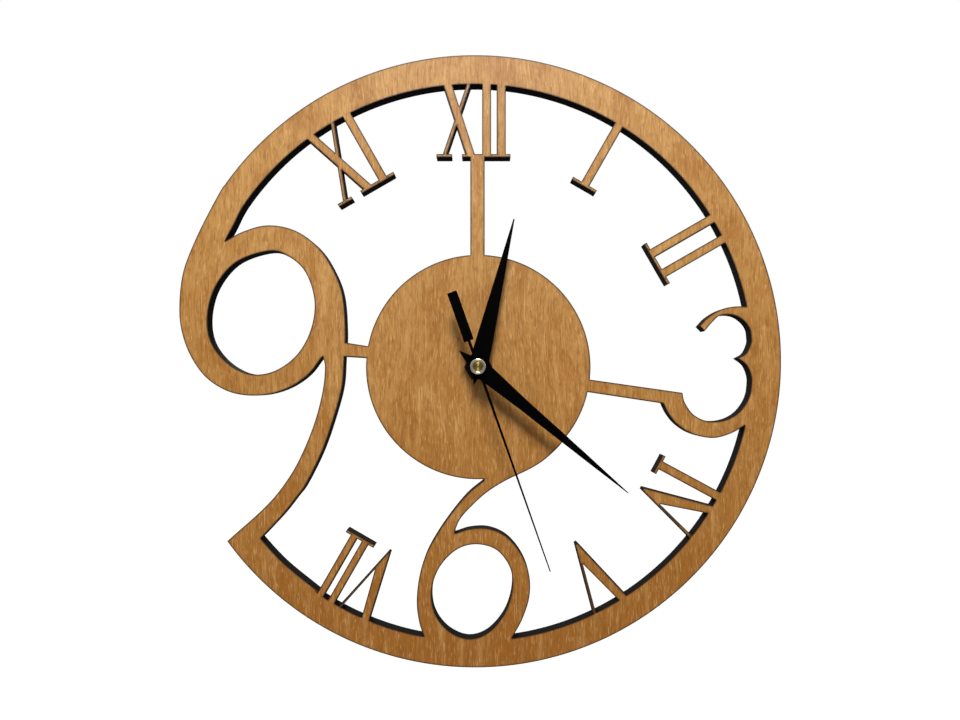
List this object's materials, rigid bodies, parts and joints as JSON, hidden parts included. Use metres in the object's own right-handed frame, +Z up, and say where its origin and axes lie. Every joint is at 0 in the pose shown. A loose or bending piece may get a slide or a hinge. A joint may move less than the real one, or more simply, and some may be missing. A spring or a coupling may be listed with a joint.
{
  "type": "wall clock",
  "caption": "Round plywood wall clock cut out in one piece, with a large six and nine, Roman numerals on the rim, slim black hands and a quartz movement behind",
  "frame": {"origin": "on the hand axis, in the plane of the movement's rear cover that rests on the wall", "axes": "+Z up to the twelve, -Y out of the dial towards the viewer, +X to the viewer's right"},
  "size_m": [0.2948, 0.0352, 0.3],
  "materials": {
    "plywood": "stained veneer, oiled, cut walls charred",
    "hand_paint": "black paint on pressed sheet",
    "turned_brass": "turned and polished",
    "black_steel": "blackened",
    "plain_steel": "bright",
    "black_plastic": "moulded",
    "white_plastic": "moulded",
    "black_rubber": "matte",
    "copper_wire": "enamelled copper winding",
    "green_board": "coated board",
    "cell_wrap": "printed wrap on a steel can",
    "magnet": "sintered"
  },
  "bodies": {
    "case": {"plywood_dial": "plywood", "threaded_bush": "plain_steel", "hex_nut": "black_steel", "rubber_washer": "black_rubber", "movement_case": "black_plastic", "rear_cover": "black_plastic", "gear_plate": "white_plastic", "stator_plate": "plain_steel", "coil_core": "plain_steel", "coil_bobbin": "white_plastic", "coil_winding": "copper_wire", "circuit_board": "green_board", "driver_chip": "black_plastic", "quartz_crystal": "plain_steel", "battery": "cell_wrap", "positive_contact": "plain_steel", "negative_contact": "plain_steel"},
    "second": {"second_wheel": "white_plastic", "second_hand": "hand_paint", "second_hand_boss": "turned_brass"},
    "intermediate": {"intermediate_wheel": "white_plastic"},
    "rotor": {"rotor_pinion": "white_plastic", "rotor_magnet": "magnet"},
    "third": {"third_wheel": "white_plastic"},
    "centre": {"centre_wheel": "white_plastic"},
    "minute": {"minute_arbor": "plain_steel", "minute_hand": "hand_paint"},
    "motion": {"motion_wheel": "white_plastic"},
    "hour": {"hour_wheel": "white_plastic", "hour_hand": "hand_paint"},
    "knob": {"setting_knob": "black_plastic"}
  },
  "joints": [
    {"name": "second_turn", "type": "hinge", "parent": "case", "child": "second", "pos_m": [0, 0, 0], "axis": [0, 1, 0], "continuous": true},
    {"name": "intermediate_turn", "type": "hinge", "parent": "case", "child": "intermediate", "pos_m": [0.00552, 0, 0.00463], "axis": [0, 1, 0], "continuous": true},
    {"name": "rotor_turn", "type": "hinge", "parent": "case", "child": "rotor", "pos_m": [0.00937, 0, 0.00922], "axis": [0, 1, 0], "continuous": true},
    {"name": "third_turn", "type": "hinge", "parent": "case", "child": "third", "pos_m": [-0.00737, 0, 0.00426], "axis": [0, 1, 0], "continuous": true},
    {"name": "centre_turn", "type": "hinge", "parent": "case", "child": "centre", "pos_m": [0, 0, 0], "axis": [0, 1, 0], "continuous": true},
    {"name": "minute_turn", "type": "hinge", "parent": "case", "child": "minute", "pos_m": [0, 0, 0], "axis": [0, 1, 0], "continuous": true},
    {"name": "motion_turn", "type": "hinge", "parent": "case", "child": "motion", "pos_m": [0.00789, 0, -0.00287], "axis": [0, 1, 0], "continuous": true},
    {"name": "hour_turn", "type": "hinge", "parent": "case", "child": "hour", "pos_m": [0, 0, 0], "axis": [0, 1, 0], "continuous": true},
    {"name": "knob_turn", "type": "hinge", "parent": "case", "child": "knob", "pos_m": [0.01626, 0, -0.00361], "axis": [0, 1, 0], "continuous": true}
  ],
  "couplings": [
    {"joint": "intermediate_turn", "follows": "second_turn", "ratio": -6},
    {"joint": "rotor_turn", "follows": "second_turn", "ratio": 30},
    {"joint": "third_turn", "follows": "second_turn", "ratio": -0.13333},
    {"joint": "centre_turn", "follows": "second_turn", "ratio": 0.016667},
    {"joint": "motion_turn", "follows": "minute_turn", "ratio": -0.33333},
    {"joint": "hour_turn", "follows": "minute_turn", "ratio": 0.083333},
    {"joint": "knob_turn", "follows": "minute_turn", "ratio": 1}
  ]
}
